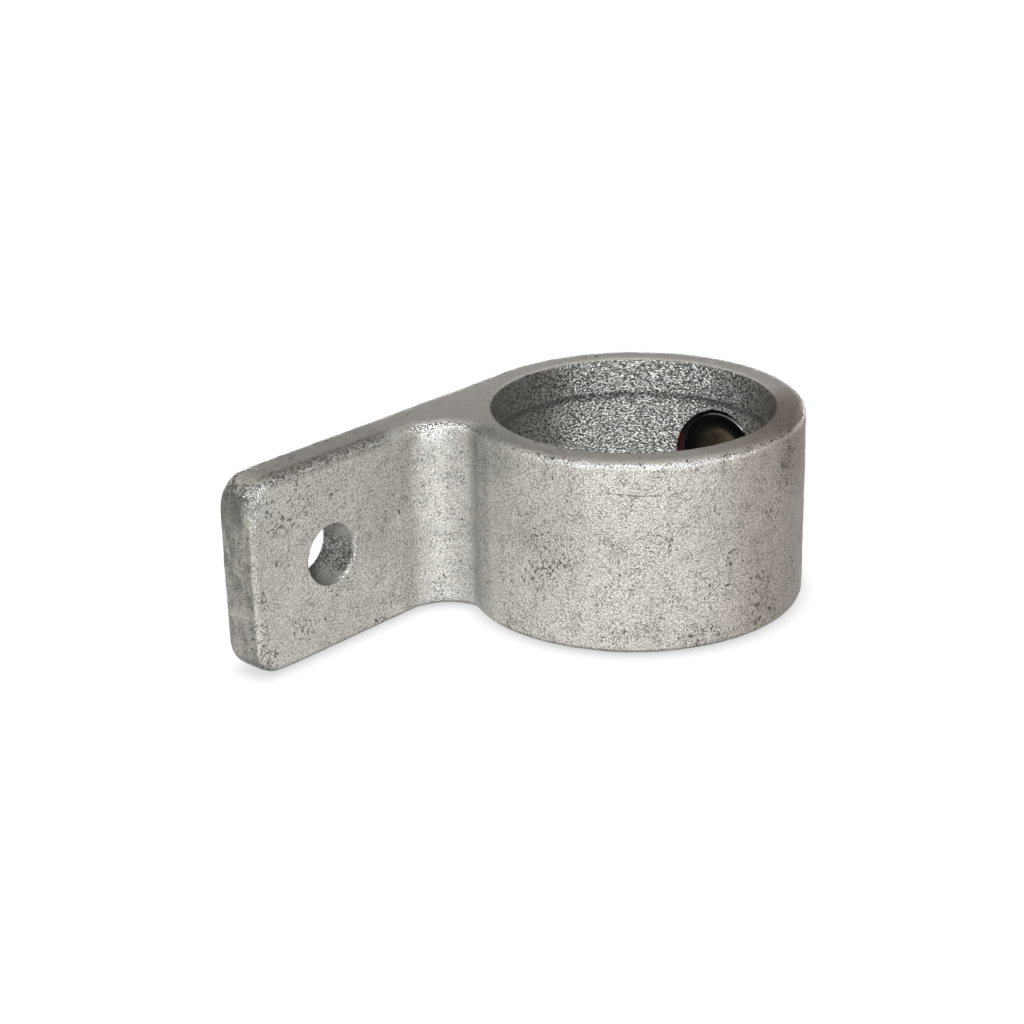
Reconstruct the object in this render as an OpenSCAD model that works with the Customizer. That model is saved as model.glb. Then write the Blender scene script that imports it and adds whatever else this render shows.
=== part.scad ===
// Cast tube clamp: a closed ring for a round tube, with one flat fixing lug that runs off the ring as a
// tangent, and a hollow-hex set screw through the ring wall opposite the lug.
// The origin is on the tube's axis, halfway up the ring. The tube runs along Z, the lug points along -X
// with its flat back towards +Y, and the set screw enters along -X from the +X side.

/* [Tube bore] */
// Outside diameter of the tube that the ring takes
tube_diameter = 48.3; // [33:0.1:62]
// How much wider the bore is than the tube
bore_clearance = 0.7; // [0.3:0.1:1.5]
// Height of the plain land at each end of the bore
land_height = 6.3; // [3:0.1:7.5]
// How much the cored middle of the bore is set back from the lands
core_relief = 0.6; // [0.2:0.1:1.2]
// Height of the slope from each land to the cored middle
core_slope = 1.1; // [0.4:0.1:1.5]
// Rounding of the bore's two rims
rim_round = 0.6; // [0.3:0.1:1]

/* [Ring and lug] */
// Wall of the ring at its lands
ring_wall = 5.5; // [4:0.1:8]
// Height of the ring and of the lug
clamp_height = 34.5; // [28:0.5:50]
// From the tube's axis to the end of the lug
lug_reach = 70.3; // [62:0.1:100]
// Thickness of the lug
lug_thickness = 8; // [6.5:0.1:11]
// Radius of the lug's two end corners, seen on its face
lug_corner = 5.4; // [3:0.1:8]
// Rounding of the casting's outer edges
edge_round = 1.4; // [0.6:0.1:2]
// Radius of the hollow fillet between the lug's front face and the ring
fillet_radius = 7.4; // [5:0.1:10]
// How far the fillet runs into the ring, which leaves a crease where they meet
fillet_sink = 0.9; // [0.4:0.1:1.4]

/* [Fixing hole] */
// Diameter of the hole for the fixing bolt
fixing_diameter = 10.4; // [6:0.1:14]
// From the axis of the fixing hole to the end of the lug
fixing_to_end = 17.8; // [12:0.1:24]
// Chamfer of the fixing hole's two rims
fixing_chamfer = 0.2; // [0.1:0.1:0.8]

/* [Set screw] */
// Outside diameter of the set screw's thread
screw_diameter = 16.66; // [13.8:0.01:17]
// Length of the set screw
screw_length = 12; // [9:0.5:16]
// Radial clearance of the set screw in its hole
screw_clearance = 0.05; // [0.02:0.01:0.1]
// How far the set screw's point stands back from the bore's lands
point_setback = 0.6; // [0.3:0.1:2]
// Countersink of the screw hole's outer mouth
mouth_chamfer = 0.6; // [0.2:0.1:1]
// Width across the flats of the hex socket
hex_flats = 8; // [5:0.1:8]
// Depth of the hex socket
hex_depth = 6; // [4:0.1:7]
// Depth of the countersink at the socket's mouth
hex_countersink = 0.8; // [0.5:0.1:1]
// Diameter of the cup in the screw's point
cup_diameter = 12.4; // [6:0.1:13]
// Depth of the cup in the screw's point
cup_depth = 2.2; // [1:0.1:2.5]
// Chamfer round the screw's point, along its axis
point_chamfer = 0.6; // [0.3:0.1:1]
// Chamfer round the screw's socket end
socket_end_chamfer = 0.8; // [0.4:0.1:1.2]

/* [Hidden] */
$fn = 96;

bore_radius = (tube_diameter + bore_clearance) / 2;
core_radius = bore_radius + core_relief;
ring_radius = bore_radius + ring_wall;
half_height = clamp_height / 2;
lug_front = ring_radius - lug_thickness;

// The fillet's axis: tangent to the lug's front face, and sunk a little into the ring.
// Its solid stops inside the lug, clear of the rounded back edges
fillet_y = lug_front - fillet_radius;
fillet_x = to_hundredth(fillet_sink - sqrt(pow(ring_radius + fillet_radius, 2) - pow(fillet_y, 2)));
fillet_sweep = 90 - atan2(-fillet_y, -fillet_x);
fillet_outer = fillet_radius + lug_thickness - 1.25 * edge_round;

// The solid corner between the lug, the fillet and the ring, by its angle about the fillet's axis.
// The ring's sweep ends inside the root, halfway between that corner and the lug's back
corner_angle = 25;
corner_reach = fillet_radius + lug_thickness / 2;
corner_x = fillet_x + corner_reach * cos(corner_angle);
corner_y = fillet_y + corner_reach * sin(corner_angle);
ring_end = (90 + atan2(corner_y, corner_x)) / 2;
ring_sweep = 360 + 90 - ring_end;
lug_middle = lug_front + lug_thickness / 2;
root_front = lug_front + lug_thickness / 4;

fixing_x = fixing_to_end - lug_reach;
screw_radius = screw_diameter / 2;
screw_hole_radius = screw_radius + screw_clearance;
screw_point_x = bore_radius + point_setback;
beyond = 1;

function to_hundredth(size) = round(size * 100) / 100;

// A rectangle with its two right-hand corners rounded
module edge_section(width, depth, radius) {
    square([width - radius, depth]);
    translate([0, radius])
        square([width, depth - 2 * radius]);
    for (y = [radius, depth - radius])
        translate([width - radius, y])
            circle(radius);
}

// A rectangle with all four corners rounded
module round_section(width, depth, radius) {
    translate([radius, 0])
        square([width - 2 * radius, depth]);
    translate([0, radius])
        square([width, depth - 2 * radius]);
    for (x = [radius, width - radius])
        for (y = [radius, depth - radius])
            translate([x, y])
                circle(radius);
}

// Runs a section along X: its first axis becomes Y, its second Z
module along_x(from, to) {
    translate([from, 0, 0])
        rotate([90, 0, 90])
            linear_extrude(to - from)
                children();
}

// Sweeps a section clockwise about Z, from the plane that faces +Y
module sweep_clockwise(turn) {
    mirror([1, 0, 0])
        rotate([0, 0, 90])
            rotate_extrude(angle = turn)
                children();
}

// The ring, from the line where the lug's back leaves it, round to inside the lug's root
module ring() {
    inner = bore_radius - beyond;
    sweep_clockwise(ring_sweep)
        translate([inner, -half_height])
            edge_section(ring_radius - inner, clamp_height, edge_round);
}

// The flat lug between its rounded end and the fillet
module lug_plate() {
    along_x(lug_corner - lug_reach, fillet_x)
        translate([lug_front, -half_height])
            round_section(lug_thickness, clamp_height, edge_round);
}

// The lug's root, behind the fillet: only its back edges are rounded
module lug_root() {
    along_x(fillet_x, 0)
        translate([root_front, -half_height])
            edge_section(ring_radius - root_front, clamp_height, edge_round);
}

// The lug's end: a rounded edge between two rounded corners
module lug_end() {
    corner_z = half_height - lug_corner;
    translate([lug_corner - lug_reach, ring_radius, 0])
        rotate([0, 0, 180]) {
            translate([0, 0, -corner_z])
                linear_extrude(2 * corner_z)
                    edge_section(lug_corner, lug_thickness, edge_round);
            for (side = [0, 1])
                mirror([0, 0, side])
                    translate([0, 0, corner_z])
                        rotate([-90, 0, 0])
                            rotate([0, 0, -90])
                                rotate_extrude(angle = 90)
                                    edge_section(lug_corner, lug_thickness, edge_round);
        }
}

// The hollow fillet, swept about its own axis, with its edges rounded like the rest
module fillet() {
    translate([fillet_x, fillet_y, 0])
        sweep_clockwise(fillet_sweep)
            translate([fillet_outer, -half_height])
                mirror([1, 0])
                    edge_section(fillet_outer - fillet_radius, clamp_height, edge_round);
}

// Fills the corner where lug, fillet and ring run together
module root_corner() {
    translate([0, 0, -half_height])
        linear_extrude(clamp_height)
            polygon([[0, 0], [0, lug_middle], [fillet_x, lug_middle], [corner_x, corner_y]]);
}

// Half the bore's profile: a land with a rounded rim, then the cored middle
module half_bore_profile() {
    land_start = half_height - land_height;
    square([bore_radius, half_height + beyond]);
    polygon([[0, 0], [core_radius, 0], [core_radius, land_start - core_slope], [bore_radius, land_start],
        [0, land_start]]);
    translate([bore_radius, half_height - rim_round])
        difference() {
            square([rim_round, rim_round + beyond]);
            translate([rim_round, 0])
                circle(rim_round);
        }
}

// The bore, the same from both ends
module bore() {
    rotate_extrude()
        for (side = [0, 1])
            mirror([0, side])
                half_bore_profile();
}

// The fixing hole through the lug, with both rims broken
module fixing_hole() {
    radius = fixing_diameter / 2;
    translate([fixing_x, ring_radius, 0])
        rotate([90, 0, 0]) {
            translate([0, 0, -beyond])
                cylinder(h = lug_thickness + 2 * beyond, r = radius);
            translate([0, 0, -fixing_chamfer])
                cylinder(h = 2 * fixing_chamfer, r1 = radius + 2 * fixing_chamfer, r2 = radius);
            translate([0, 0, lug_thickness - fixing_chamfer])
                cylinder(h = 2 * fixing_chamfer, r1 = radius, r2 = radius + 2 * fixing_chamfer);
        }
}

// The set screw's hole through the ring wall, countersunk outside
module screw_hole() {
    wall_edge = sqrt(pow(ring_radius, 2) - pow(screw_hole_radius, 2));
    mouth_start = wall_edge - mouth_chamfer;
    mouth_depth = ring_radius + beyond - mouth_start;
    rotate([0, 90, 0]) {
        cylinder(h = ring_radius + beyond, r = screw_hole_radius);
        translate([0, 0, mouth_start])
            cylinder(h = mouth_depth, r1 = screw_hole_radius, r2 = screw_hole_radius + mouth_depth);
    }
}

module clamp_body() {
    color([0.66, 0.65, 0.62])
        difference() {
            union() {
                ring();
                lug_plate();
                lug_root();
                lug_end();
                fillet();
                root_corner();
            }
            bore();
            fixing_hole();
            screw_hole();
        }
}

// Half the set screw's section, from its cup point along its axis
module screw_profile() {
    cup_radius = cup_diameter / 2;
    polygon([[0, cup_depth], [cup_radius, 0], [screw_radius - point_chamfer, 0], [screw_radius, point_chamfer],
        [screw_radius, screw_length - socket_end_chamfer], [screw_radius - socket_end_chamfer, screw_length],
        [0, screw_length]]);
}

module set_screw() {
    hex_radius = hex_flats / 2 / cos(30);
    mouth_depth = hex_countersink + beyond;
    color([0.13, 0.12, 0.12])
        translate([screw_point_x, 0, 0])
            rotate([0, 90, 0])
                difference() {
                    rotate_extrude()
                        screw_profile();
                    translate([0, 0, screw_length - hex_depth])
                        cylinder(h = hex_depth + beyond, r = hex_radius, $fn = 6);
                    translate([0, 0, screw_length - hex_countersink])
                        cylinder(h = mouth_depth, r1 = hex_flats / 2, r2 = hex_flats / 2 + mouth_depth);
                }
}

clamp_body();
set_screw();
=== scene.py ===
# %% [markdown]
# # A zinc-coated tube clamp
# The object is a small iron casting: a ring that slides over a tube, a flat lug with one bolt hole, and a
# black set screw that bites on the tube. The CAD model is loaded first and stays fixed. Everything made
# below sits in the same frame, in metres.

# %% Load the frame
import math

import bpy
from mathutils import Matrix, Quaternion, Vector


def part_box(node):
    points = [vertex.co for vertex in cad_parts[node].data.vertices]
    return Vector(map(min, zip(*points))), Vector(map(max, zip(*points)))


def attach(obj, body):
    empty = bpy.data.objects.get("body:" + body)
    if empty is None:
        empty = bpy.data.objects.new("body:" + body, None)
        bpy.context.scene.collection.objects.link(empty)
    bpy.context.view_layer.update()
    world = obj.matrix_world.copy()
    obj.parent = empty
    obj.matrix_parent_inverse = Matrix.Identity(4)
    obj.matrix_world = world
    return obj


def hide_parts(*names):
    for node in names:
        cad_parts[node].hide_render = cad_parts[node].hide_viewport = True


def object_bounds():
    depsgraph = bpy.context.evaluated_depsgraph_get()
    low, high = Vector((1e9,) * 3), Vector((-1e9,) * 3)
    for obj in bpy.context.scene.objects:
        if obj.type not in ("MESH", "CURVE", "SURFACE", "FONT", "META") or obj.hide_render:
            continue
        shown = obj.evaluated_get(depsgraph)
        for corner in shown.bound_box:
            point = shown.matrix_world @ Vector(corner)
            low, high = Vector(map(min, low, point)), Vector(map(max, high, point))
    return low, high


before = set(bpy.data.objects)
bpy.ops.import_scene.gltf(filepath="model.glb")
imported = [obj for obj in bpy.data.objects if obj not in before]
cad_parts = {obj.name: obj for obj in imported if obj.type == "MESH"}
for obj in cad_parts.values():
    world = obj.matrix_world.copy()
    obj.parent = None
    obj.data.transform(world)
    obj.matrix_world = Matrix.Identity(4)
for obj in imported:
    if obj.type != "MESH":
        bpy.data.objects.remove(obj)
cad_low, cad_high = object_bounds()
scene = bpy.context.scene
scene.view_settings.view_transform = "Standard"
MM = 0.001

# %% [markdown]
# ## Camera
# The photograph was taken from the lug's side, a little above the clamp, with a longish lens. The camera's
# place, aim and tilt were found by fitting the CAD edges to the photograph, so they are written as numbers
# instead of being set by eye.

# %% Set the camera
CAMERA_PLACE = Vector((-286.69, -230.44, 144.21)) * MM
CAMERA_AIM = Vector((-15.157, 15.283, -2.457)) * MM
CAMERA_TILT = math.radians(-1.293)

camera = bpy.data.objects.new("photo_camera", bpy.data.cameras.new("photo_camera"))
scene.collection.objects.link(camera)
camera.data.sensor_width = 36
camera.data.lens = 78.5
camera.data.clip_start = 0.01
camera.location = CAMERA_PLACE
camera.rotation_mode = "QUATERNION"
look = (CAMERA_AIM - CAMERA_PLACE).to_track_quat("-Z", "Y")
camera.rotation_quaternion = look @ Quaternion((0, 0, 1), CAMERA_TILT)
scene.camera = camera
print("camera stands", round((CAMERA_AIM - CAMERA_PLACE).length, 3), "m away")

# %% [markdown]
# ## Floor and light
# The clamp was photographed on white, with one soft light from in front. A floor that the camera sees as
# nearly white gives that background, and it still takes a faint shadow. Most of its colour is its own glow,
# which only the camera and the reflections in the object see. For all other light it is a plain grey floor.
# Inside the ring the floor lies in the ring's own shade, so the glow is less than half there. Close under
# the object it fades, which leaves a thin line of shadow. Far out it rises a little, where the lamps reach
# less. A low round wall far away closes the view when the camera stands lower.


# %% Helpers for node trees
def add_node(tree, kind, **settings):
    """A new node, with its properties and its inputs' values set by name."""
    node = tree.nodes.new(kind)
    for name, value in settings.items():
        socket = node.inputs.get(name.replace("_", " ").title())
        if socket:
            socket.default_value = value
        else:
            setattr(node, name, value)
    return node


def arithmetic(tree, operation, first, second=None, third=None):
    """One Math node. Each term is a number or another node's output."""
    node = tree.nodes.new("ShaderNodeMath")
    node.operation = operation
    for socket, term in zip(node.inputs, (first, second, third)):
        if term is None:
            continue
        if isinstance(term, (int, float)):
            socket.default_value = term
        else:
            tree.links.new(term, socket)
    return node.outputs[0]


def ramp(tree, value, slope, start):
    """Slope times value, plus start."""
    return arithmetic(tree, "MULTIPLY_ADD", value, slope, start)


def times(tree, first, *others):
    """The product of all its terms."""
    for other in others:
        first = arithmetic(tree, "MULTIPLY", first, other)
    return first


def soft_step(tree, value, low, high):
    """0 below low, 1 above high, smooth between. With low above high it falls instead."""
    node = add_node(tree, "ShaderNodeMapRange", interpolation_type="SMOOTHSTEP")
    rising = low < high
    node.inputs["From Min"].default_value = min(low, high)
    node.inputs["From Max"].default_value = max(low, high)
    node.inputs["To Min"].default_value = 0.0 if rising else 1.0
    node.inputs["To Max"].default_value = 1.0 if rising else 0.0
    tree.links.new(value, node.inputs["Value"])
    return node.outputs["Result"]


def mix_colour(tree, share, first, second, blend="MIX"):
    """One Mix node for colours. Share and colours are values or outputs."""
    node = tree.nodes.new("ShaderNodeMix")
    node.data_type = "RGBA"
    node.blend_type = blend
    sockets = [s for s in node.inputs if s.enabled]
    for socket, term in zip(sockets, (share, first, second)):
        if isinstance(term, (int, float)):
            socket.default_value = term
        elif isinstance(term, tuple):
            socket.default_value = (*term, 1.0)
        else:
            tree.links.new(term, socket)
    return next(s for s in node.outputs if s.enabled)


def tinted(tree, colour, share, tint):
    """A colour that is multiplied by a tint as far as share goes."""
    return mix_colour(tree, share, colour, tint, "MULTIPLY")


def new_material(name):
    """A material, its node tree and its main shader."""
    material = bpy.data.materials.new(name)
    material.use_nodes = True
    tree = material.node_tree
    return material, tree, tree.nodes["Principled BSDF"]


# %% Make the floor
STUDIO_RADIUS = 12
WALL_HEIGHT = 1.0
FLOOR_GAP = 0.2 * MM

bpy.ops.object.select_all(action="DESELECT")
bpy.ops.mesh.primitive_circle_add(vertices=96, radius=STUDIO_RADIUS, fill_type="NGON",
                                  location=(0, 0, cad_low.z - FLOOR_GAP))
floor = bpy.context.object
floor.name = "studio_floor"
bpy.ops.object.transform_apply(location=True)
bpy.ops.object.select_all(action="DESELECT")
bpy.ops.mesh.primitive_cylinder_add(vertices=96, radius=STUDIO_RADIUS, depth=WALL_HEIGHT,
                                    end_fill_type="NOTHING", location=(0, 0, cad_low.z + 0.45 * WALL_HEIGHT))
backdrop = bpy.context.object
backdrop.name = "studio_backdrop"
bpy.ops.object.transform_apply(location=True)
print("floor at", round(cad_low.z / MM, 2), "mm, wall", STUDIO_RADIUS, "m away")

# %% [markdown]
# The floor's paint is a grey that takes light, mixed with a white that glows. How much of it glows depends
# on who looks and on the distance from the ring's axis, and how strongly it glows on what stands close by.

# %% Paint the floor
FLOOR_GLOW = 0.85
GLOW_STRENGTH = 1.14
RING_SHADE = 0.6
CONTACT_SHADE = 0.4
FAR_GLOW = 0.06

floor_paint = bpy.data.materials.new("pale_floor")
floor_paint.use_nodes = True
tree = floor_paint.node_tree
tree.nodes.clear()
matt = add_node(tree, "ShaderNodeBsdfDiffuse", color=(0.5, 0.5, 0.5, 1))
glow = add_node(tree, "ShaderNodeEmission", color=(1, 1, 1, 1))
rays = add_node(tree, "ShaderNodeLightPath")
seen = arithmetic(tree, "MAXIMUM", rays.outputs["Is Camera Ray"], rays.outputs["Is Glossy Ray"])
seen = arithmetic(tree, "MAXIMUM", seen, rays.outputs["Is Transmission Ray"])
floor_place = add_node(tree, "ShaderNodeTexCoord")
from_ring = add_node(tree, "ShaderNodeVectorMath", operation="DISTANCE")
tree.links.new(floor_place.outputs["Object"], from_ring.inputs[0])
from_ring.inputs[1].default_value = (0, 0, cad_low.z)
outside = soft_step(tree, from_ring.outputs["Value"], 25 * MM, 27 * MM)
far_out = soft_step(tree, from_ring.outputs["Value"], 0.25, 0.9)
share = times(tree, seen, ramp(tree, outside, RING_SHADE, 1 - RING_SHADE), FLOOR_GLOW)
open_sky = add_node(tree, "ShaderNodeAmbientOcclusion", samples=4, distance=3 * MM)
strength = ramp(tree, open_sky.outputs["AO"], CONTACT_SHADE * GLOW_STRENGTH,
                (1 - CONTACT_SHADE) * GLOW_STRENGTH)
strength = times(tree, strength, ramp(tree, far_out, FAR_GLOW, 1.0))
tree.links.new(strength, glow.inputs["Strength"])
blend = add_node(tree, "ShaderNodeMixShader")
out = add_node(tree, "ShaderNodeOutputMaterial")
tree.links.new(share, blend.inputs[0])
tree.links.new(matt.outputs[0], blend.inputs[1])
tree.links.new(glow.outputs[0], blend.inputs[2])
tree.links.new(blend.outputs[0], out.inputs["Surface"])
for stage in (floor, backdrop):
    stage.data.materials.append(floor_paint)
print("floor and wall painted in", floor_paint.name)

# %% [markdown]
# The room is a plain, rather dark studio, a little brighter in front than behind, with one round softbox
# close to the camera. So the faces that look at the camera are light, the sides fall off, and each grain
# of the rough metal can catch the lamp. A low strip lamp behind shows the back. It lies lower than the
# clamp's top, so it doesn't reach what the photograph shows.

# %% Light the studio
LAMP_SIDE = math.radians(-54)
LAMP_RISE = math.radians(30)
FRONT_LAMP = dict(distance=0.9, width=0.26, height=0.26, power=8.5)
BACK_LAMP = dict(distance=0.6, width=0.6, height=0.03, power=2.2)
ROOM_BEHIND = (0.06, 0.059, 0.058)
ROOM_IN_FRONT = (0.15, 0.15, 0.15)


def way_to(side, rise):
    """The direction at an angle round from -Y and an angle up."""
    return Vector((math.sin(side) * math.cos(rise), -math.cos(side) * math.cos(rise), math.sin(rise)))


lamp_way = way_to(LAMP_SIDE, LAMP_RISE)

world = bpy.data.worlds.new("studio")
scene.world = world
world.use_nodes = True
tree = world.node_tree
way = add_node(tree, "ShaderNodeTexCoord")
facing = add_node(tree, "ShaderNodeVectorMath", operation="DOT_PRODUCT")
facing.inputs[1].default_value = lamp_way
tree.links.new(way.outputs["Generated"], facing.inputs[0])
front = soft_step(tree, facing.outputs["Value"], -0.6, 0.9)
room = mix_colour(tree, front, ROOM_BEHIND, ROOM_IN_FRONT)
tree.links.new(room, tree.nodes["Background"].inputs["Color"])


def soft_lamp(name, way, distance, width, height, power):
    """An area lamp that looks at the origin. It is round when it is as wide as it is high."""
    lamp = bpy.data.objects.new(name, bpy.data.lights.new(name, "AREA"))
    scene.collection.objects.link(lamp)
    lamp.data.shape = "ELLIPSE" if width == height else "RECTANGLE"
    lamp.data.size = width
    lamp.data.size_y = height
    lamp.data.energy = power
    lamp.location = way * distance
    lamp.rotation_mode = "QUATERNION"
    lamp.rotation_quaternion = (-way).to_track_quat("-Z", "Y")
    lamp.visible_camera = False


soft_lamp("front_softbox", lamp_way, **FRONT_LAMP)
soft_lamp("back_strip", way_to(LAMP_SIDE + math.pi, 0), **BACK_LAMP)
print("lamp", round(math.degrees(LAMP_SIDE)), "degrees round,", round(math.degrees(LAMP_RISE)), "up")

# %% [markdown]
# ## Effects that the finishes share
# Three effects come back in more than one material, so each is a node group. The first is the grain of the
# surface: small rounded lumps, which a noise and a cell pattern give together.


# %% Node group helper
def new_group(name, inputs, outputs):
    """An empty shader node group. Inputs are (name, kind, value), outputs (name, kind)."""
    group = bpy.data.node_groups.new(name, "ShaderNodeTree")
    for label, kind, value in inputs:
        socket = group.interface.new_socket(label, in_out="INPUT", socket_type=kind)
        if value is not None:
            socket.default_value = value
    for label, kind in outputs:
        group.interface.new_socket(label, in_out="OUTPUT", socket_type=kind)
    return group, group.nodes.new("NodeGroupInput"), group.nodes.new("NodeGroupOutput")


def place_group(tree, group, **values):
    """Puts a group in a material. Each input is a number or another node's output."""
    node = tree.nodes.new("ShaderNodeGroup")
    node.node_tree = group
    for name, value in values.items():
        socket = node.inputs[name.replace("_", " ").title()]
        if isinstance(value, (int, float)):
            socket.default_value = value
        else:
            tree.links.new(value, socket)
    return node


# %% Group: lumpy grain
grain_group, grain_in, grain_out = new_group(
    "lumpy_grain", [("Spot", "NodeSocketVector", None), ("Lumps Per Mm", "NodeSocketFloat", 1.0)],
    [("Height", "NodeSocketFloat"), ("Peak", "NodeSocketFloat")])
fine = add_node(grain_group, "ShaderNodeTexNoise", detail=2.0, roughness=0.55)
cells = add_node(grain_group, "ShaderNodeTexVoronoi", feature="SMOOTH_F1", smoothness=0.6)
for texture in (fine, cells):
    grain_group.links.new(grain_in.outputs["Spot"], texture.inputs["Vector"])
    grain_group.links.new(grain_in.outputs["Lumps Per Mm"], texture.inputs["Scale"])
rounded = ramp(grain_group, cells.outputs["Distance"], -0.6, 0.6)
height = ramp(grain_group, fine.outputs[0], 0.7, rounded)
grain_group.links.new(height, grain_out.inputs["Height"])
grain_group.links.new(soft_step(grain_group, height, 0.45, 0.85), grain_out.inputs["Peak"])
print("group", grain_group.name, "made")

# %% [markdown]
# The second effect is specks: dark crumbs of dross and burnt sand that stay on a casting. They are small
# and sharp, and they come in drifts, so a fine pattern is let through only where a coarse one is high.

# %% Group: dark specks
speck_group, speck_in, speck_out = new_group(
    "dark_specks", [("Spot", "NodeSocketVector", None), ("Specks Per Mm", "NodeSocketFloat", 1.3),
                    ("Drifts Per Mm", "NodeSocketFloat", 0.1), ("Amount", "NodeSocketFloat", 0.0)],
    [("Mask", "NodeSocketFloat")])
crumbs = add_node(speck_group, "ShaderNodeTexNoise", detail=3.0, roughness=0.6, distortion=0.6)
drifts = add_node(speck_group, "ShaderNodeTexNoise", detail=2.0, roughness=0.5)
for texture, rate in ((crumbs, "Specks Per Mm"), (drifts, "Drifts Per Mm")):
    speck_group.links.new(speck_in.outputs["Spot"], texture.inputs["Vector"])
    speck_group.links.new(speck_in.outputs[rate], texture.inputs["Scale"])
drift = arithmetic(speck_group, "SUBTRACT", drifts.outputs[0], 0.5)
level = ramp(speck_group, drift, 0.35, crumbs.outputs[0])
level = arithmetic(speck_group, "ADD", level, speck_in.outputs["Amount"])
speck_group.links.new(soft_step(speck_group, level, 0.66, 0.72), speck_out.inputs["Mask"])
print("group", speck_group.name, "made")

# %% [markdown]
# The third is a slow drift of tone, as zinc and oxide films are never even. It gives one number between
# 0 and 1 that changes over some millimetres.

# %% Group: uneven film
film_group, film_in, film_out = new_group(
    "uneven_film", [("Spot", "NodeSocketVector", None), ("Patches Per Mm", "NodeSocketFloat", 0.07)],
    [("Tone", "NodeSocketFloat")])
patches = add_node(film_group, "ShaderNodeTexNoise", detail=4.0, roughness=0.6, distortion=0.4)
film_group.links.new(film_in.outputs["Spot"], patches.inputs["Vector"])
film_group.links.new(film_in.outputs["Patches Per Mm"], patches.inputs["Scale"])
film_group.links.new(soft_step(film_group, patches.outputs[0], 0.3, 0.7), film_out.inputs["Tone"])
print("group", film_group.name, "made")

# %% [markdown]
# ## The casting
# The ring and lug were cast in sand and dipped in molten zinc, so no face is truly flat and no edge is
# sharp. The CAD solid has the right sizes but clean faces. A copy of it is merged and turned into an even
# net of small squares by a voxel remesh, which gives the later steps points to move everywhere.

# %% Copy the CAD casting and make its net even
CASTING_NET = 0.48 * MM


def apply_modifier(piece, kind, **settings):
    """Adds a modifier with its settings and applies it."""
    bpy.context.view_layer.objects.active = piece
    modifier = piece.modifiers.new(kind.lower(), kind)
    for name, value in settings.items():
        setattr(modifier, name, value)
    bpy.ops.object.modifier_apply(modifier=modifier.name)


def merged_copy(node, name):
    """A new object with a copy of a CAD node's mesh, its loose triangles merged."""
    bpy.ops.object.select_all(action="DESELECT")
    piece = bpy.data.objects.new(name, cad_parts[node].data.copy())
    scene.collection.objects.link(piece)
    piece.data.materials.clear()
    bpy.context.view_layer.objects.active = piece
    piece.select_set(True)
    bpy.ops.object.mode_set(mode="EDIT")
    bpy.ops.mesh.select_all(action="SELECT")
    bpy.ops.mesh.remove_doubles(threshold=1e-6)
    bpy.ops.object.mode_set(mode="OBJECT")
    return piece


casting = merged_copy("clamp_body", "clamp_casting")
apply_modifier(casting, "REMESH", mode="VOXEL", voxel_size=CASTING_NET, use_smooth_shade=True)
print("casting net:", len(casting.data.polygons), "faces")

# %% [markdown]
# The zinc has run off the lug's end and left its edges rounder than the drawing's. A Smooth modifier that is
# held to the last millimetres of the lug does the same. Before that, two rounds over the whole net take off
# the small steps that a remesh leaves along round edges.

# %% Round the lug's end
SOFT_FROM, SOFT_FULL = -61 * MM, -67 * MM
ROUNDS_ALL_OVER, ROUNDS_AT_END = 2, 18

soft_end = casting.vertex_groups.new(name="soft_end")
for vertex in casting.data.vertices:
    share = (vertex.co.x - SOFT_FROM) / (SOFT_FULL - SOFT_FROM)
    if share > 0:
        soft_end.add([vertex.index], min(share, 1.0), "REPLACE")
apply_modifier(casting, "SMOOTH", factor=0.5, iterations=ROUNDS_ALL_OVER)
apply_modifier(casting, "SMOOTH", factor=0.5, iterations=ROUNDS_AT_END, vertex_group=soft_end.name)
print("lug end now at", round(min(v.co.x for v in casting.data.vertices) / MM, 2), "mm")

# %% [markdown]
# Sand leaves small lumps and the mould's own slow waves. Two displacements with cloud textures give both.
# They sink the surface far more than they raise it, so that the casting never grows past its drawing. The
# two holes were cut after casting, so they are left out of the group of points that is moved.

# %% Sink the casting's surface unevenly
BOLT_REACH = 52.5
BOLT_HOLE = 5.5 * MM
SCREW_HOLE = 8.8 * MM
CAST_LUMPS = ("cast_lumps", 2.2 * MM, 2, 0.14 * MM)
CAST_WAVES = ("cast_waves", 13 * MM, 1, 0.16 * MM)

cast_skin = casting.vertex_groups.new(name="cast_skin")
in_holes = [math.hypot(v.co.x + BOLT_REACH * MM, v.co.z) < BOLT_HOLE or
            (v.co.x > 0 and math.hypot(v.co.y, v.co.z) < SCREW_HOLE) for v in casting.data.vertices]
cast_skin.add([i for i, cut in enumerate(in_holes) if not cut], 1.0, "REPLACE")
for name, size, detail, depth in (CAST_LUMPS, CAST_WAVES):
    clouds = bpy.data.textures.new(name, "CLOUDS")
    clouds.noise_scale = size
    clouds.noise_depth = detail
    apply_modifier(casting, "DISPLACE", texture=clouds, texture_coords="LOCAL", strength=depth, mid_level=0.9,
                   vertex_group=cast_skin.name)
bpy.ops.object.select_all(action="DESELECT")
casting.select_set(True)
bpy.context.view_layer.objects.active = casting
bpy.ops.object.shade_smooth()
print("casting spans", [round(v / MM, 2) for v in casting.dimensions])

# %% [markdown]
# ### Zinc finish
# Hot-dip zinc on sand-cast iron is a warm light grey with a fine, glittering grain. The grain is strongest
# on the cored wall of the bore and weakest on the flat tops. The finish is one material: its masks come
# from the place on the part, in millimetres, and from the way that the face looks.


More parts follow.
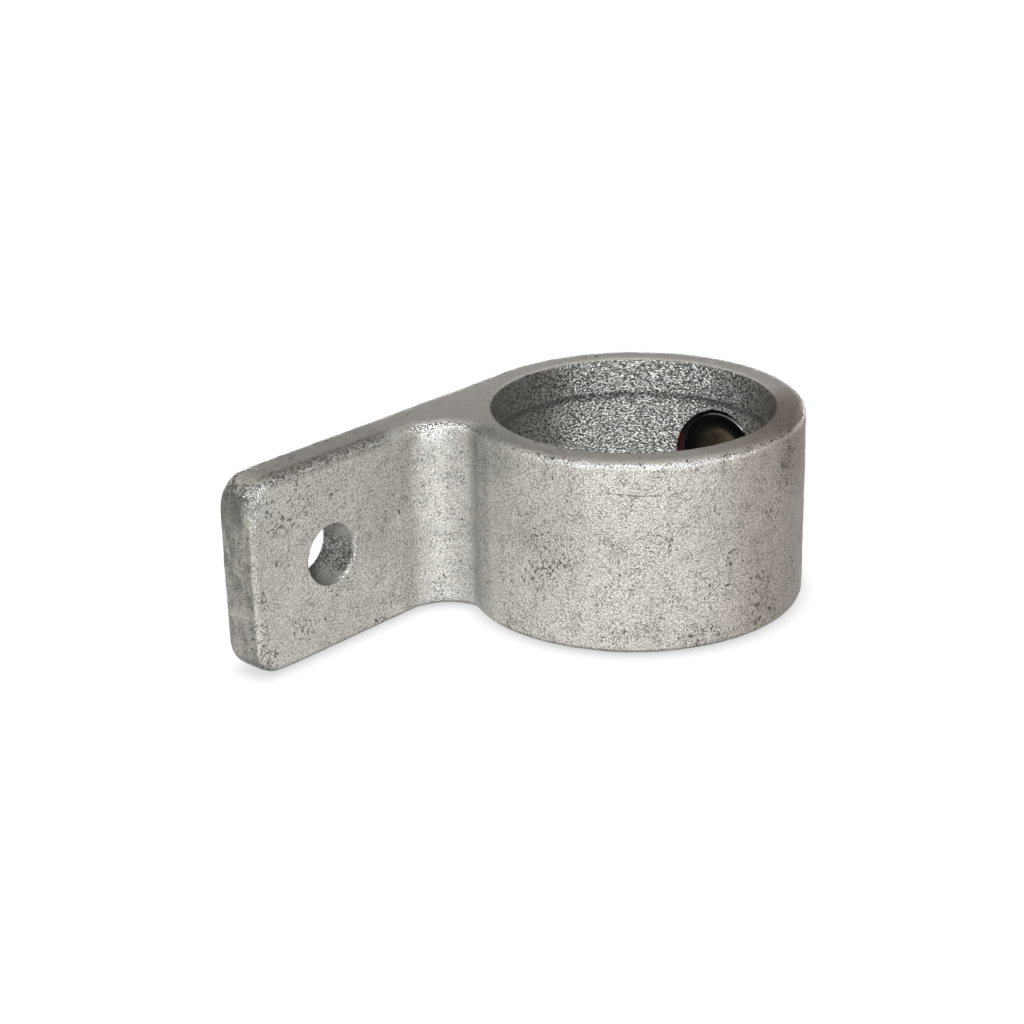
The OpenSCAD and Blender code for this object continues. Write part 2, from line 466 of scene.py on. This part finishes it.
# %% Zinc: helpers for places
def place_in_mm(tree):
    """The place on the piece in millimetres, then by axis, then the way that the face looks by axis."""
    place = add_node(tree, "ShaderNodeTexCoord")
    spot = add_node(tree, "ShaderNodeVectorMath", operation="SCALE")
    spot.inputs["Scale"].default_value = 1 / MM
    tree.links.new(place.outputs["Object"], spot.inputs[0])
    axes, ways = (add_node(tree, "ShaderNodeSeparateXYZ") for _ in range(2))
    tree.links.new(spot.outputs[0], axes.inputs[0])
    tree.links.new(place.outputs["Normal"], ways.inputs[0])
    return spot.outputs[0], axes.outputs, ways.outputs


def reach(tree, first, second):
    """How far a point is from an axis, from its two distances."""
    square = arithmetic(tree, "MULTIPLY", second, second)
    return arithmetic(tree, "SQRT", arithmetic(tree, "MULTIPLY_ADD", first, first, square))


def window(tree, value, low, high, soft):
    """1 between low and high, 0 outside."""
    return times(tree, soft_step(tree, value, low - soft, low + soft),
                 soft_step(tree, value, high + soft, high - soft))


def near(tree, spot, centre, size):
    """1 at a point, 0 from size millimetres away."""
    away = add_node(tree, "ShaderNodeVectorMath", operation="DISTANCE")
    tree.links.new(spot, away.inputs[0])
    away.inputs[1].default_value = centre
    return soft_step(tree, away.outputs["Value"], size, 0.2 * size)


# %% [markdown]
# The masks come first. Each is a number between 0 and 1 that says how far a point belongs to a place. Those
# of the bore and the edges use the distance from the tube's axis and the way that a face looks. A wobble
# makes the borders of the edges ragged, as zinc doesn't end on a straight line.

# %% Zinc: the bore and the edges
zinc, tree, zinc_shader = new_material("dipped_zinc")
spot, (along, across, rise), (face_x, _, face_z) = place_in_mm(tree)
level_off = arithmetic(tree, "ABSOLUTE", rise)
upright = arithmetic(tree, "ABSOLUTE", face_z)
from_axis = reach(tree, along, across)
wobble = place_group(tree, film_group, spot=spot, patches_per_mm=0.7).outputs[0]
ragged = ramp(tree, wobble, 0.2, upright)

in_bore = times(tree, soft_step(tree, from_axis, 25.9, 25.5), soft_step(tree, upright, 0.92, 0.6))
off_bore = soft_step(tree, from_axis, 25.8, 26.4)
step_shadow_band = times(tree, in_bore, window(tree, level_off, 9.4, 10.7, 0.4))
left_end = times(tree, soft_step(tree, along, 17.0, -5.0), soft_step(tree, across, 8.0, 14.0))
right_end = times(tree, soft_step(tree, along, 4.0, 11.0), soft_step(tree, across, -4.0, -12.0))
calm_bore = times(tree, in_bore, arithmetic(tree, "MAXIMUM", left_end, right_end))
on_top = soft_step(tree, ragged, 0.88, 0.98)
edge_line = times(tree, off_bore, window(tree, ragged, 0.70, 0.95, 0.08))
lit_edge = ramp(tree, near(tree, spot, (-29.0, 5.0, 17.0), 12.0), -0.9, 1.0)
# A painted highlight along the round top edges, faded near the crease.
edge_highlight_paint = times(tree, off_bore, window(tree, ragged, 0.25, 0.72, 0.1), soft_step(tree, face_z, 0.0, 0.2),
                   lit_edge)
# The round bottom edges, which get painted shade.
under_edge_shade = window(tree, face_z, -0.94, -0.4, 0.1)
worn_rim = near(tree, spot, (10.0, -27.0, 17.2), 17.0)
print("masks of the bore and the edges made")

# %% [markdown]
# Where the lug runs into the ring, the hollow fillet is smooth, with a painted highlight at its back, and the
# crease that it leaves on the ring gets painted shade. Both are found by their distance from an upright axis of
# their own.

# %% Zinc: the crease and the fillet
CREASE_AXIS = (-27.8, 11.2)
FILLET_AXIS = (-33.5, 14.6)


def from_upright(tree, axis):
    """How far a point is from an upright axis at (x, y)."""
    return reach(tree, arithmetic(tree, "ADD", along, -axis[0]), arithmetic(tree, "ADD", across, -axis[1]))


crease = soft_step(tree, from_upright(tree, CREASE_AXIS), 4.2, 1.6)
in_fillet = times(tree, soft_step(tree, along, -33.4, -30.8), soft_step(tree, across, 10.8, 12.4),
                  soft_step(tree, from_upright(tree, FILLET_AXIS), 8.5, 7.9))
# Where painted shade falls: on the fillet towards the crease, and on the lug beside the fillet.
fillet_shade = times(tree, in_fillet, soft_step(tree, across, 20.2, 17.6))
shade_beside_fillet = times(tree, window(tree, along, -36.0, -33.0, 1.0), soft_step(tree, across, 24.0, 23.0))
# A painted highlight at the fillet's back, under its top edge.
fillet_highlight_paint = near(tree, spot, (-29.2, 20.6, 15.7), 3.8)
smooth_patch = near(tree, spot, (-29.3, 7.8, 14.0), 9.0)
# The ring's side by the lug, in its upper part, which gets painted shade.
left_side_shade = times(tree, soft_step(tree, along, -25.5, -28.5), window(tree, across, -12.0, 12.0, 5.0),
                  soft_step(tree, rise, -9.0, 3.0))
print("masks of the crease and the fillet made")

# %% [markdown]
# The lug has a darker upper half, a smooth stretch towards its end and a dark line under its top edge. At the
# end itself the zinc ran off, and it left beads at the upper corner. The bolt hole's wall is rough in one band,
# and its front rim gets a painted highlight on one side. The screw's hole was tapped after dipping.

# %% Zinc: the lug and the holes
upper_lug = times(tree, soft_step(tree, along, -35.0, -39.0), soft_step(tree, rise, -9.0, 3.0))
smooth_lug = soft_step(tree, along, -46.0, -62.0)
brow = times(tree, window(tree, along, -66.0, -38.0, 3.0), soft_step(tree, rise, 14.9, 16.2),
             soft_step(tree, across, 25.0, 23.4))
lug_end = times(tree, soft_step(tree, face_x, -0.6, -0.9), soft_step(tree, along, -68.0, -69.5))
end_edge = times(tree, window(tree, along, -69.6, -67.8, 0.5), soft_step(tree, across, 24.2, 23.0))
# A painted highlight at the lug's upper front corner.
corner_highlight_paint = near(tree, spot, (-68.9, 22.4, 15.0), 3.2)
corner_beads = near(tree, spot, (-69.5, 22.5, 14.0), 6.0)
from_bolt = reach(tree, arithmetic(tree, "ADD", along, BOLT_REACH), rise)
bolt_wall = soft_step(tree, from_bolt, 5.6, 5.45)
# One side of the bolt hole's front rim, which gets a painted highlight.
bolt_rim_highlight = times(tree, window(tree, from_bolt, 5.2, 5.75, 0.15), soft_step(tree, across, 23.0, 22.4),
                 soft_step(tree, rise, 2.0, -0.5), soft_step(tree, along, -52.0, -50.0))
rough_wall = times(tree, bolt_wall, window(tree, rise, -4.2, 0.6, 0.8))
screw_wall = times(tree, soft_step(tree, reach(tree, across, rise), 8.75, 8.55),
                   soft_step(tree, along, 20.0, 21.0))
print("masks of the lug and the holes made")

# %% [markdown]
# The crumbs lie where the photograph shows them: on the lug's end, in drifts round the ring, and along
# the top edges. Each drift is a point on the casting with a size and an amount, which is added to the even
# scatter. Smaller pits lie all over the rough skin.

# %% Zinc: crumbs and pits
DRIFTS = [((-65.6, 22, 9.6), 6, 0.05), ((-59.1, 22, 10.9), 4, 0.04), ((-60.5, 22, -11.3), 5, 0.12),
          ((-67.7, 22, -13.5), 5, 0.14), ((-29.6, -5.2, -0.2), 8, 0.075), ((-30, -1.4, -5), 6, 0.075),
          ((-20.5, -21.9, 4.0), 6, 0.10), ((-1.4, -30, -11.1), 9, 0.11), ((-24.2, -17.7, -10.1), 5, -0.04),
          ((5.2, -29.5, 11.4), 7, 0.10), ((-14.8, -26.1, -15.3), 6, 0.09), ((-30, 0.6, -13.9), 5, 0.08),
          ((-69.6, 22.3, -3.0), 4, 0.11), ((-69.6, 22.3, -9.5), 4, 0.11), ((-8.4, -28.8, 0.5), 7, 0.05)]

amount = arithmetic(tree, "MULTIPLY", edge_line, 0.10)
amount = ramp(tree, on_top, 0.025, amount)
for centre, size, share in DRIFTS:
    amount = ramp(tree, near(tree, spot, centre, size), share, amount)
amount = ramp(tree, in_bore, -0.1, amount)
specks = place_group(tree, speck_group, spot=spot, specks_per_mm=1.5, drifts_per_mm=0.11,
                     amount=amount).outputs[0]
pits = place_group(tree, speck_group, spot=spot, specks_per_mm=2.6, drifts_per_mm=0.35,
                   amount=0.075).outputs[0]
pitted = times(tree, pits, off_bore, ramp(tree, on_top, -0.8, 1.0), ramp(tree, smooth_lug, -0.5, 1.0))
print(len(DRIFTS), "drifts of crumbs placed")

# %% [markdown]
# The grain is a height that swings about its own middle, so that it fades between calm and rough places
# without a step. The outer lumps are small. In the cored bore they are larger and flatter, like ripples.

# %% Zinc: grain
MIDDLE = 0.62

outer_grain = place_group(tree, grain_group, spot=spot, lumps_per_mm=3.6)
ripples = add_node(tree, "ShaderNodeMapping", scale=(1.0, 1.0, 1.6))
tree.links.new(spot, ripples.inputs[0])
bore_grain = place_group(tree, grain_group, spot=ripples.outputs[0], lumps_per_mm=2.1)
outer_peak, bore_peak = outer_grain.outputs["Peak"], bore_grain.outputs["Peak"]
depth = ramp(tree, on_top, -0.36, 0.62)
for place, change in ((smooth_lug, -0.45), (crease, -0.6), (smooth_patch, -0.7), (corner_beads, 0.9),
                      (bolt_wall, -0.4), (rough_wall, 2.0), (end_edge, 1.0), (brow, 0.8)):
    depth = times(tree, depth, ramp(tree, place, change, 1.0))
grain = times(tree, arithmetic(tree, "SUBTRACT", outer_grain.outputs["Height"], MIDDLE), depth)
deep = times(tree, arithmetic(tree, "SUBTRACT", bore_grain.outputs["Height"], MIDDLE),
             ramp(tree, calm_bore, -0.7, 1.0))
relief = add_node(tree, "ShaderNodeMix", data_type="FLOAT")
tree.links.new(in_bore, relief.inputs[0])
tree.links.new(grain, relief.inputs[2])
tree.links.new(deep, relief.inputs[3])
print("grain of the skin and of the bore made")

# %% [markdown]
# Two fine grooves are left: a cold line on the ring, where the iron met late, and a hair line in a bow on
# the lug. Grooves, crumbs and pits are sunk into the grain, and all of it goes into one bump.

# %% Zinc: grooves and bump
COLD_LINE_X, COLD_LINE_SAG = -21.0, 0.02
HAIR_LINE_X, HAIR_LINE_Z = -66.6, 5.2
GRAIN_HEIGHT = 0.5 * MM

from_middle = arithmetic(tree, "ADD", along, -COLD_LINE_X)
sag = times(tree, from_middle, from_middle, -COLD_LINE_SAG)
cold_line = times(tree, window(tree, arithmetic(tree, "ADD", rise, sag), 11.15, 11.4, 0.12),
                  window(tree, along, -25.5, -16.0, 1.0), soft_step(tree, across, -12.0, -14.0),
                  soft_step(tree, wobble, 0.35, 0.6))
hair_bow = reach(tree, arithmetic(tree, "ADD", along, -HAIR_LINE_X),
                 arithmetic(tree, "ADD", rise, -HAIR_LINE_Z))
hair_line = times(tree, window(tree, hair_bow, 4.75, 4.9, 0.1), soft_step(tree, along, -64.0, -62.8),
                  soft_step(tree, across, 23.0, 22.6))
scratches = arithmetic(tree, "MAXIMUM", cold_line, hair_line)
height = relief.outputs[0]
for hollow, drop in ((specks, -0.4), (scratches, -0.3), (pitted, -0.2)):
    height = ramp(tree, hollow, drop, height)
bump = add_node(tree, "ShaderNodeBump", strength=1.0, distance=GRAIN_HEIGHT)
tree.links.new(height, bump.inputs["Height"])
tree.links.new(bump.outputs[0], zinc_shader.inputs["Normal"])
print("zinc bump", round(GRAIN_HEIGHT / MM, 2), "mm high")

# %% [markdown]
# The colours are laid over each other as on the real part, the clean metal first. The outer skin is light on
# the lumps and darker between them, partly the grain's own tone and partly painted glints on the lumps and
# painted shade between them. The cored bore has the same with more contrast. The fillet is smoother, and its
# paler colour is a painted highlight. The round edges, the fillet's back and the lug's corner get painted
# highlights, and painted shade falls on the fillet towards the crease and beside it.

# %% Zinc: colour of the metal
film = place_group(tree, film_group, spot=spot, patches_per_mm=0.06).outputs[0]
colour = mix_colour(tree, film, (0.56, 0.537, 0.492), (0.645, 0.62, 0.572))
# Light on the lumps and darker between them: grain tone with painted glints and painted shade. The cored bore
# below has more of both.
colour = tinted(tree, colour, 1.0, ramp(tree, outer_peak, 0.66, 0.64))
cored = mix_colour(tree, soft_step(tree, bore_peak, 0.2, 0.85), (0.17, 0.165, 0.154), (0.84, 0.83, 0.804))
cored = tinted(tree, cored, 1.0, ramp(tree, wobble, 0.36, 0.82))
colour = mix_colour(tree, in_bore, colour, cored)
# The fillet's paler colour is a painted highlight.
colour = mix_colour(tree, times(tree, in_fillet, 0.33), colour, (0.76, 0.757, 0.745))
# Painted shade on the fillet towards the crease and on the lug beside it.
for place, tint in ((fillet_shade, (0.76, 0.76, 0.755)), (shade_beside_fillet, (0.83, 0.83, 0.82))):
    colour = tinted(tree, colour, place, tint)
# The round top edges get a painted highlight.
colour = mix_colour(tree, times(tree, edge_highlight_paint, 0.85), colour, (0.90, 0.89, 0.87))
# Painted highlights on the corner's beads, at the corner itself and at the fillet's back.
bead_highlights = times(tree, corner_beads, soft_step(tree, bore_peak, 0.35, 0.8))
corner_highlight_spots = times(tree, corner_highlight_paint, soft_step(tree, bore_peak, 0.1, 0.6))
painted_highlights = arithmetic(tree, "MAXIMUM", arithmetic(tree, "MAXIMUM", bead_highlights, fillet_highlight_paint), corner_highlight_spots)
colour = mix_colour(tree, times(tree, painted_highlights, 0.85), colour, (0.96, 0.955, 0.935))
print("clean zinc coloured")

# %% [markdown]
# The flat tops are duller than the sides, and their darker, warmer grey is painted shade on faces that look up.
# Over the tops it grows lighter from the front and the lug towards the back. Then come broad tints: a blue-grey
# painted shade by the crease and more painted shade on the crease itself, a warm stain on the ring's side with
# painted shade where the ring turns away, painted shade on the bore's calm ends, on the ring's side by the lug
# and under the edges, and a dark band under the lug's top edge.

# %% Zinc: tops, stains and painted shade
# The tops' darker, warmer grey is painted shade on faces that look up.
top_tone = mix_colour(tree, wobble, (0.45, 0.428, 0.391), (0.495, 0.467, 0.432))
# Lighter from the front and the lug towards the back.
top_lighter_to_back = ramp(tree, soft_step(tree, arithmetic(tree, "ADD", along, across), -25.0, 25.0), 0.26, 0.89)
top_tone = tinted(tree, top_tone, 1.0, times(tree, top_lighter_to_back, ramp(tree, outer_peak, 0.26, 0.86)))
colour = mix_colour(tree, on_top, colour, top_tone)
# Painted shade on the crease, and a blue-grey painted shade beside it at the top.
crease_painted_shade = times(tree, crease, ramp(tree, wobble, 0.4, 0.6))
for place, tint in ((smooth_patch, (0.76, 0.775, 0.785)), (upper_lug, (0.90, 0.90, 0.895)),
                    (worn_rim, (0.84, 0.80, 0.775)), (crease_painted_shade, (0.64, 0.655, 0.665))):
    colour = tinted(tree, colour, place, tint)
# Painted shade on the bore's calm left and right ends.
colour = mix_colour(tree, times(tree, calm_bore, 0.53), colour, (0.18, 0.168, 0.15))
ring_side = soft_step(tree, across, -12.0, -20.0)
# A warm stain on the ring's side, with painted shade where the ring turns away, more on its far part.
warm_stain_and_side_shade = times(tree, window(tree, along, -9.5, 22.0, 9.0), ring_side)
far_side_shade = times(tree, soft_step(tree, along, 0.0, 9.0), ring_side)
# A dark band under the lug's top edge, darker between the lumps.
brow_darkening = ramp(tree, soft_step(tree, bore_peak, 0.7, 0.1), 0.75, 0.3)
for place, tint in ((warm_stain_and_side_shade, (0.78, 0.715, 0.685)), (far_side_shade, (0.85, 0.845, 0.84)),
                    (left_side_shade, (0.85, 0.85, 0.84)), (times(tree, under_edge_shade, 0.8), (0.45, 0.44, 0.42)),
                    (times(tree, brow, brow_darkening), (0.36, 0.345, 0.315))):
    colour = tinted(tree, colour, place, tint)
print("tops and stains coloured")

# %% [markdown]
# The lug's end has upright streaks where the zinc ran down, and a dark smear at its upper back corner.
# Another smear lies on the ring. The step between land and core in the bore gets a dark band of painted shadow.

# %% Zinc: streaks and smears
streaks = add_node(tree, "ShaderNodeMapping", scale=(1.0, 1.0, 0.55))
tree.links.new(spot, streaks.inputs[0])
streak = place_group(tree, film_group, spot=streaks.outputs[0], patches_per_mm=0.5).outputs[0]
end_tone = mix_colour(tree, streak, (0.32, 0.325, 0.32), (0.72, 0.71, 0.685))
smear = times(tree, near(tree, spot, (-70.3, 27.0, 12.5), 6.5), ramp(tree, film, 0.4, 0.5))
side_smear = times(tree, near(tree, spot, (6.5, -29.2, 12.0), 8.0), wobble)
for place, tint in ((lug_end, end_tone), (smear, (0.38, 0.38, 0.362)), (side_smear, (0.66, 0.63, 0.61))):
    colour = tinted(tree, colour, place, tint)
# A dark band of painted shadow at the step between land and core.
colour = mix_colour(tree, times(tree, step_shadow_band, 0.52), colour, (0.10, 0.097, 0.09))
print("streaks and smears coloured")

# %% [markdown]
# Last come the small dark things and the holes. The bolt hole is light above and dark below, with painted
# sparkles on its rough band and a painted highlight on one side of its front rim. The tapped hole's wall is
# near black and has a trace of red thread paint at its edge.

# %% Zinc: holes, pits and crumbs
bolt_tone = mix_colour(tree, soft_step(tree, rise, 0.5, 3.5), (0.21, 0.205, 0.193), (0.54, 0.525, 0.50))
# Painted sparkles on the rough band of the bolt hole's wall.
wall_sparkle_paint = mix_colour(tree, soft_step(tree, bore_peak, 0.35, 0.85), (0.075, 0.073, 0.068),
                        (0.55, 0.54, 0.515))
bolt_tone = mix_colour(tree, rough_wall, bolt_tone, wall_sparkle_paint)
for place, share, tone in ((bolt_wall, 0.85, bolt_tone), (bolt_rim_highlight, 0.8, (0.84, 0.83, 0.80)),
                           (pitted, 0.5, (0.12, 0.115, 0.105)), (scratches, 0.5, (0.14, 0.135, 0.12)),
                           (specks, 0.88, (0.08, 0.075, 0.067))):
    colour = mix_colour(tree, times(tree, place, share), colour, tone)
colour = mix_colour(tree, screw_wall, colour, (0.022, 0.020, 0.019))
thread_paint = times(tree, screw_wall, soft_step(tree, rise, 3.6, 2.4), soft_step(tree, across, 4.5, 6.5),
                     soft_step(tree, along, 25.2, 24.9))
colour = mix_colour(tree, thread_paint, colour, (0.075, 0.016, 0.018))
tree.links.new(colour, zinc_shader.inputs["Base Color"])
print("zinc colours mixed")

# %% [markdown]
# Zinc shines where it is clean. The cored bore and the edges with the painted highlight are the most metallic,
# and the worn tops and the crumbs aren't metallic at all.

# %% Zinc: shine
dull = ramp(tree, film, 0.08, 0.40)
for place, change in ((on_top, 0.10), (in_bore, -0.12), (edge_highlight_paint, -0.15), (in_fillet, -0.06),
                      (specks, 0.25)):
    dull = ramp(tree, place, change, dull)
tree.links.new(dull, zinc_shader.inputs["Roughness"])
metal = ramp(tree, in_bore, 0.66, 0.18)
for place, gain in ((edge_highlight_paint, 0.5), (in_fillet, 0.2), (rough_wall, 0.5), (bolt_rim_highlight, 0.4), (painted_highlights, 0.4)):
    metal = ramp(tree, place, gain, metal)
for place in (on_top, specks):
    metal = times(tree, metal, ramp(tree, place, -1.0, 1.0))
tree.links.new(metal, zinc_shader.inputs["Metallic"])
casting.data.materials.append(zinc)
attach(casting, "clamp")
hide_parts("clamp_body")
print("casting finished in", zinc.name)

# %% [markdown]
# ## The set screw
# The screw is a short length of threaded bar with a hollow point at one end and a hex socket at the other.
# A thread is a profile that is carried round and along at once, so one tooth is drawn as a line and the
# Screw modifier winds it. The bar is wound longer than it needs to be, cut square at both ends, and then
# cut to the CAD screw, which gives it the cup, the chamfers and the socket.

# %% Draw one tooth of the thread
screw_low, screw_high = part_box("set_screw")
PITCH = 1.337 * MM
THREAD_DEPTH = 0.856 * MM
ROOT_FLAT, FLANK, CREST_FLAT = 0.14, 0.34, 0.18
CREST = screw_high.z
ROOT = CREST - THREAD_DEPTH
thread_start = screw_low.x - 1.5 * PITCH

bpy.ops.object.select_all(action="DESELECT")
bpy.ops.mesh.primitive_plane_add(size=1 * MM, location=(0, 0, 0))
thread = bpy.context.object
thread.name = "set_screw_thread"
bpy.ops.object.mode_set(mode="EDIT")
bpy.ops.mesh.select_all(action="SELECT")
bpy.ops.mesh.merge(type="CENTER")
bpy.ops.transform.translate(value=(thread_start, 0, ROOT))
for step, climb in ((ROOT_FLAT, 0.0), (FLANK, CREST - ROOT), (CREST_FLAT, 0.0), (FLANK, ROOT - CREST)):
    bpy.ops.mesh.extrude_region_move(TRANSFORM_OT_translate={"value": (step * PITCH, 0, climb)})
bpy.ops.object.mode_set(mode="OBJECT")
print("tooth drawn with", len(thread.data.vertices), "points")

# %% [markdown]
# The tooth is wound round the X axis, one pitch for each turn, as a lathe cuts it. Both ends of the bar are
# then sawn off square, a little outside the screw's own length.

# %% Wind the thread and cut the bar to length
TURNS = 12
STEPS_PER_TURN = 64
SAW_ALLOWANCE = 0.3 * MM

apply_modifier(thread, "SCREW", axis="X", screw_offset=PITCH, iterations=TURNS, steps=STEPS_PER_TURN,
               render_steps=STEPS_PER_TURN, use_merge_vertices=True, merge_threshold=1e-6)
bpy.ops.object.mode_set(mode="EDIT")
for end, side in ((screw_low.x - SAW_ALLOWANCE, -1), (screw_high.x + SAW_ALLOWANCE, 1)):
    bpy.ops.mesh.select_all(action="SELECT")
    bpy.ops.mesh.bisect(plane_co=(end, 0, 0), plane_no=(side, 0, 0), use_fill=True, clear_outer=True)
bpy.ops.mesh.select_all(action="SELECT")
bpy.ops.mesh.remove_doubles(threshold=1e-7)
bpy.ops.mesh.normals_make_consistent(inside=False)
bpy.ops.object.mode_set(mode="OBJECT")
print("threaded bar:", len(thread.data.polygons), "faces,", [round(v / MM, 2) for v in thread.dimensions], "mm")

# %% [markdown]
# What the bar shares with the CAD screw is the finished form, with its cup, chamfers and socket. The cut
# leaves points nearly on top of each other where a crest meets the CAD surface. They are merged, and faces
# without an area are dissolved.

# %% Cut the bar to the screw's form
MERGE_WITHIN = 0.01 * MM
DISSOLVE_BELOW = 0.005 * MM

form = merged_copy("set_screw", "screw_form")
apply_modifier(thread, "BOOLEAN", operation="INTERSECT", solver="EXACT", object=form)
bpy.data.objects.remove(form)
bpy.context.view_layer.objects.active = thread
bpy.ops.object.mode_set(mode="EDIT")
bpy.ops.mesh.select_all(action="SELECT")
bpy.ops.mesh.remove_doubles(threshold=MERGE_WITHIN)
bpy.ops.mesh.dissolve_degenerate(threshold=DISSOLVE_BELOW)
bpy.ops.object.mode_set(mode="OBJECT")
print("set screw:", len(thread.data.polygons), "faces")

# %% [markdown]
# ### Black screw finish
# The screw is blackened steel. Its point's outer edge carries a thin bright arc, which is a painted highlight,
# and the hollow of the point is brown with a painted sheen on one side. The point is painted a deeper black as
# shade, and the end outside the ring is a greyer black, with its thread crests and the socket's rim rubbed to
# the metal in places. The masks use the place along the screw and the distance from its axis.

# %% Blackened steel: where things are
black, tree, black_shader = new_material("blackened_steel")
spot, (along, across, rise), _ = place_in_mm(tree)
off_axis = reach(tree, across, rise)
at_point = soft_step(tree, along, 27.6, 27.3)
in_cup = times(tree, at_point, soft_step(tree, off_axis, 5.7, 4.3))
# The point's outer edge, which gets a thin arc of painted highlight.
point_edge_highlight = times(tree, soft_step(tree, along, 25.75, 25.6), window(tree, off_axis, 7.85, 8.3, 0.05))
outside_ring = soft_step(tree, along, 27.5, 30.0)
crests = times(tree, outside_ring, soft_step(tree, off_axis, 8.15, 8.3))
mouth = times(tree, soft_step(tree, along, 36.2, 36.4), window(tree, off_axis, 4.35, 4.75, 0.1))
rub = place_group(tree, film_group, spot=spot, patches_per_mm=0.8).outputs[0]
rubbed = times(tree, arithmetic(tree, "MAXIMUM", crests, mouth), soft_step(tree, rub, 0.35, 0.75))
print("masks of the screw made")

# %% [markdown]
# The oxide is a grey black outside, and the point gets a deeper black as painted shade. The cup is brown,
# lighter on one side as a painted sheen, and the bare metal and the painted highlight on the point's edge come
# last.

# %% Blackened steel: colour
film = place_group(tree, film_group, spot=spot, patches_per_mm=0.3).outputs[0]
# On the point the black is deeper, which is painted shade.
point_black_shade = mix_colour(tree, film, (0.002, 0.002, 0.002), (0.005, 0.005, 0.0045))
grey_black = mix_colour(tree, film, (0.022, 0.021, 0.020), (0.042, 0.040, 0.038))
colour = mix_colour(tree, outside_ring, point_black_shade, grey_black)
colour = mix_colour(tree, times(tree, rubbed, 0.7), colour, (0.26, 0.25, 0.24))
# The cup is brown, lighter on one side as a painted sheen.
sheen_side = soft_step(tree, across, 2.4, -0.6)
cup_brown_and_sheen = mix_colour(tree, sheen_side, (0.036, 0.032, 0.018), (0.155, 0.112, 0.077))
cup_brown_and_sheen = tinted(tree, cup_brown_and_sheen, 1.0, ramp(tree, film, 0.9, 0.4))
colour = mix_colour(tree, in_cup, colour, cup_brown_and_sheen)
# The painted highlight on the point's outer edge.
colour = mix_colour(tree, times(tree, point_edge_highlight, 0.9), colour, (0.62, 0.61, 0.59))
tree.links.new(colour, black_shader.inputs["Base Color"])
print("screw coloured")

# %% [markdown]
# Oxide shines only a little, and bare steel and the painted highlight on the point's edge like metal. A shallow
# grain keeps the black from looking like paint. The edges of the cup, chamfers and socket stay crisp, so only
# flat angles are shaded smooth.

# %% Blackened steel: shine
OXIDE_GRAIN = 0.03 * MM
CRISP_FROM = math.radians(35)

tree.links.new(ramp(tree, film, 0.15, 0.28), black_shader.inputs["Roughness"])
wear_and_highlight = arithmetic(tree, "MAXIMUM", point_edge_highlight, rubbed)
tree.links.new(ramp(tree, wear_and_highlight, 0.7, 0.3), black_shader.inputs["Metallic"])
black_shader.inputs["Specular IOR Level"].default_value = 0.14
grain = place_group(tree, grain_group, spot=spot, lumps_per_mm=2.6)
bump = add_node(tree, "ShaderNodeBump", strength=0.5, distance=OXIDE_GRAIN)
tree.links.new(grain.outputs["Height"], bump.inputs["Height"])
tree.links.new(bump.outputs[0], black_shader.inputs["Normal"])
thread.data.materials.append(black)
bpy.ops.object.select_all(action="DESELECT")
thread.select_set(True)
bpy.context.view_layer.objects.active = thread
bpy.ops.object.shade_smooth_by_angle(angle=CRISP_FROM)
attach(thread, "screw")
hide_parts("set_screw")
print("set screw finished in", black.name)

# %% [markdown]
# ## The CAD box
# The CAD box is printed.

# %% Print the CAD box
print("CAD box", [round(v / MM, 2) for v in (*cad_low, *cad_high)])
